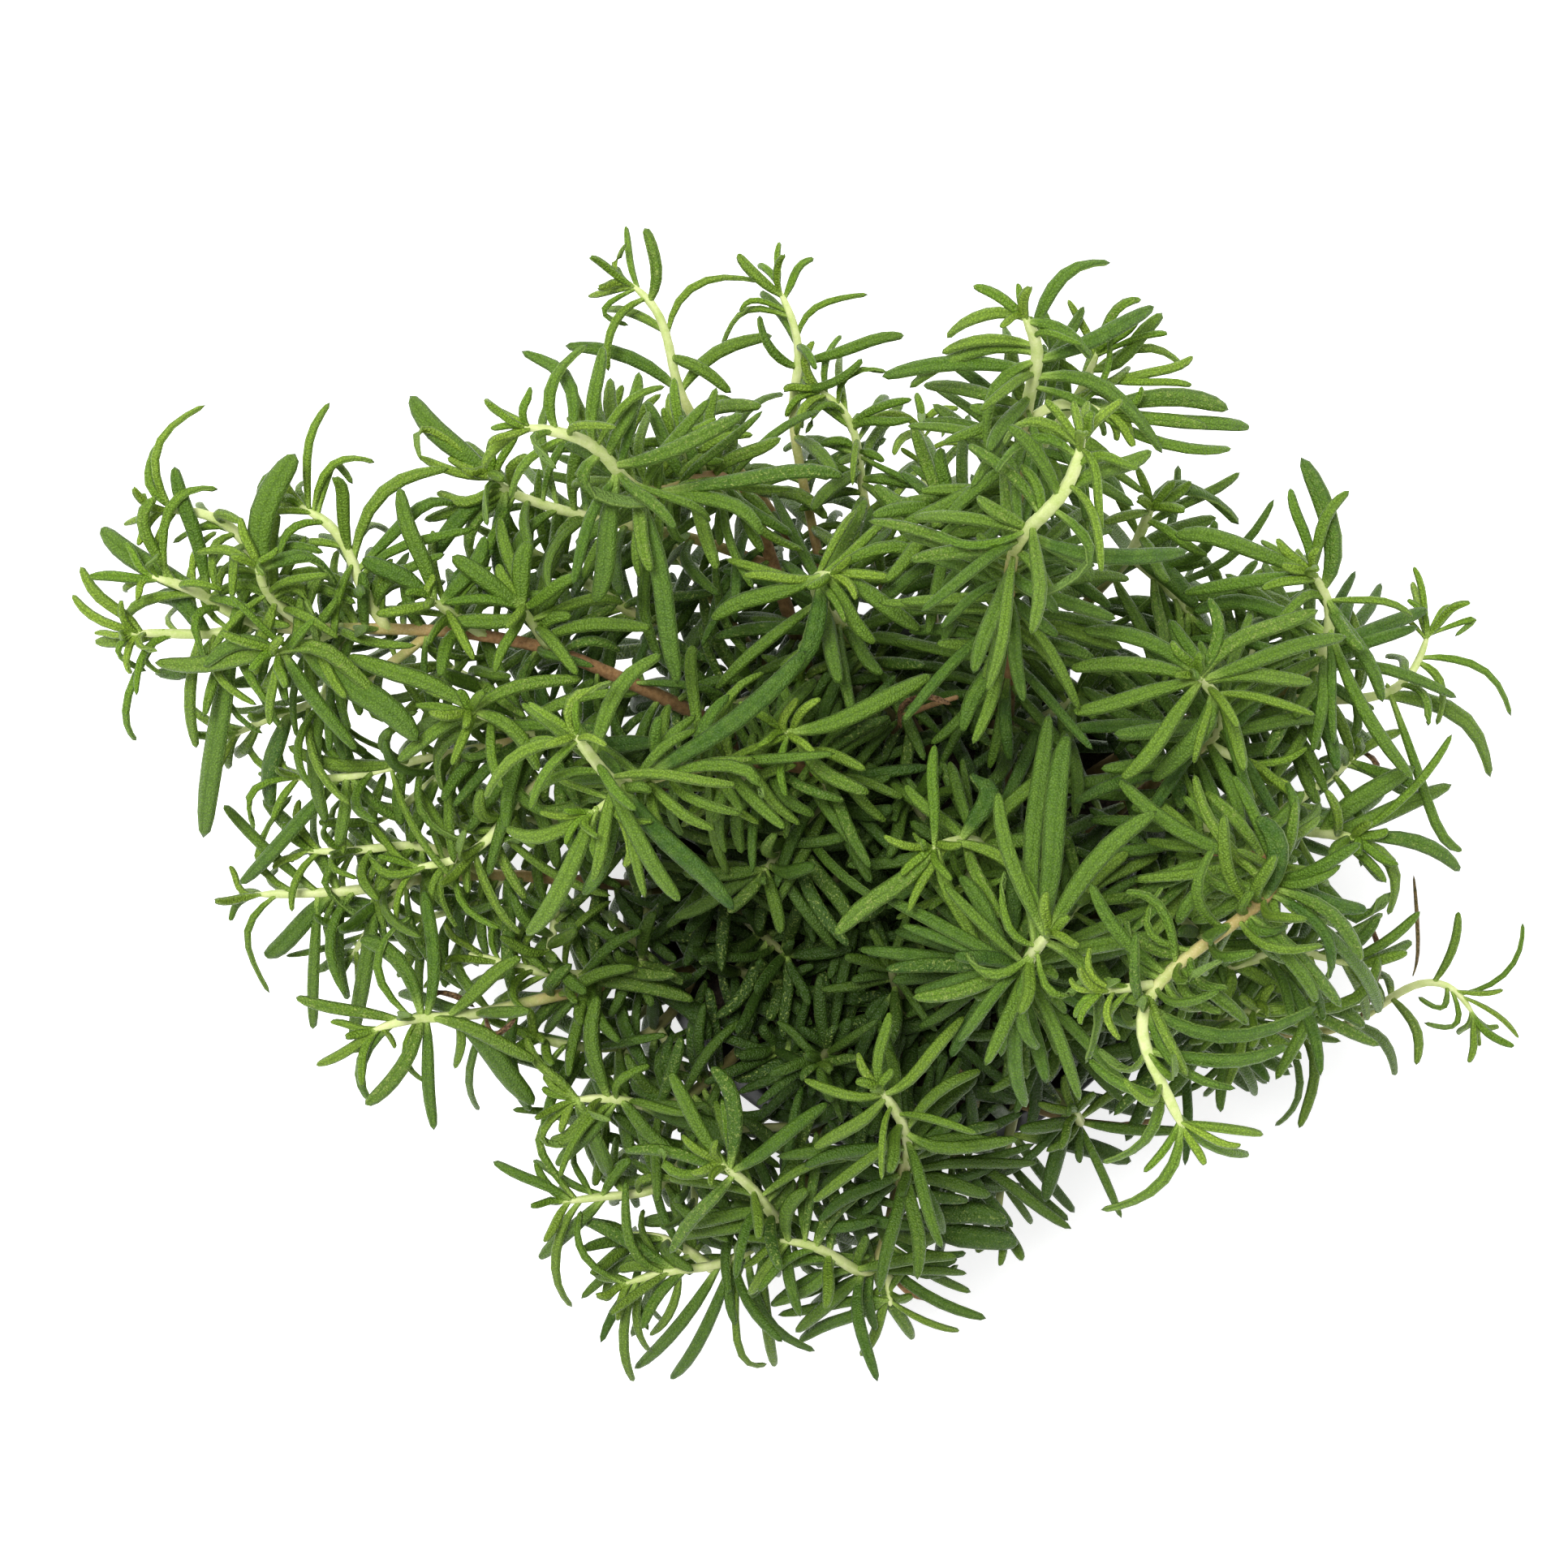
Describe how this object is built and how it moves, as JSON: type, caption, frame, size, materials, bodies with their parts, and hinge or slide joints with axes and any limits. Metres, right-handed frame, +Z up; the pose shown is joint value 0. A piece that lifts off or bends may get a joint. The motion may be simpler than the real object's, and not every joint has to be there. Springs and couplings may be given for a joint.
{
  "type": "potted rosemary plant",
  "caption": "Rosemary plant with needle-leaved woody stems leaning out of a tapered black nursery pot filled with compost.",
  "frame": {"origin": "centre of the pot's underside, on the plane that the pot stands on", "axes": "+Z up out of the pot; +X and +Y across it, as right and up in a plan view"},
  "size_m": [0.2874, 0.2318, 0.258],
  "materials": {
    "pot_plastic": "black moulded plastic, satin, faintly scuffed",
    "compost": "dark damp crumbly compost with a few pale specks",
    "rosemary": "green needle leaves with a fine pebbled skin and paler edges, on pale green shoots and brown woody stems"
  },
  "bodies": {
    "root": {"pot": "pot_plastic", "soil": "compost", "far_left_branch": "rosemary", "west_branch": "rosemary", "west_low_branch": "rosemary", "south_west_branch": "rosemary", "south_west_low_branch": "rosemary", "south_branch": "rosemary", "south_mid_branch": "rosemary", "south_up_branch": "rosemary", "east_long_branch": "rosemary", "heart_branch": "rosemary", "middle_branch": "rosemary", "brow_branch": "rosemary", "north_west_branch": "rosemary", "left_mid_branch": "rosemary", "north_branch": "rosemary", "north_mid_branch": "rosemary", "crown_branch": "rosemary", "high_branch": "rosemary", "star_branch": "rosemary", "east_up_branch": "rosemary", "east_low_branch": "rosemary", "south_east_branch": "rosemary"}
  },
  "joints": []
}
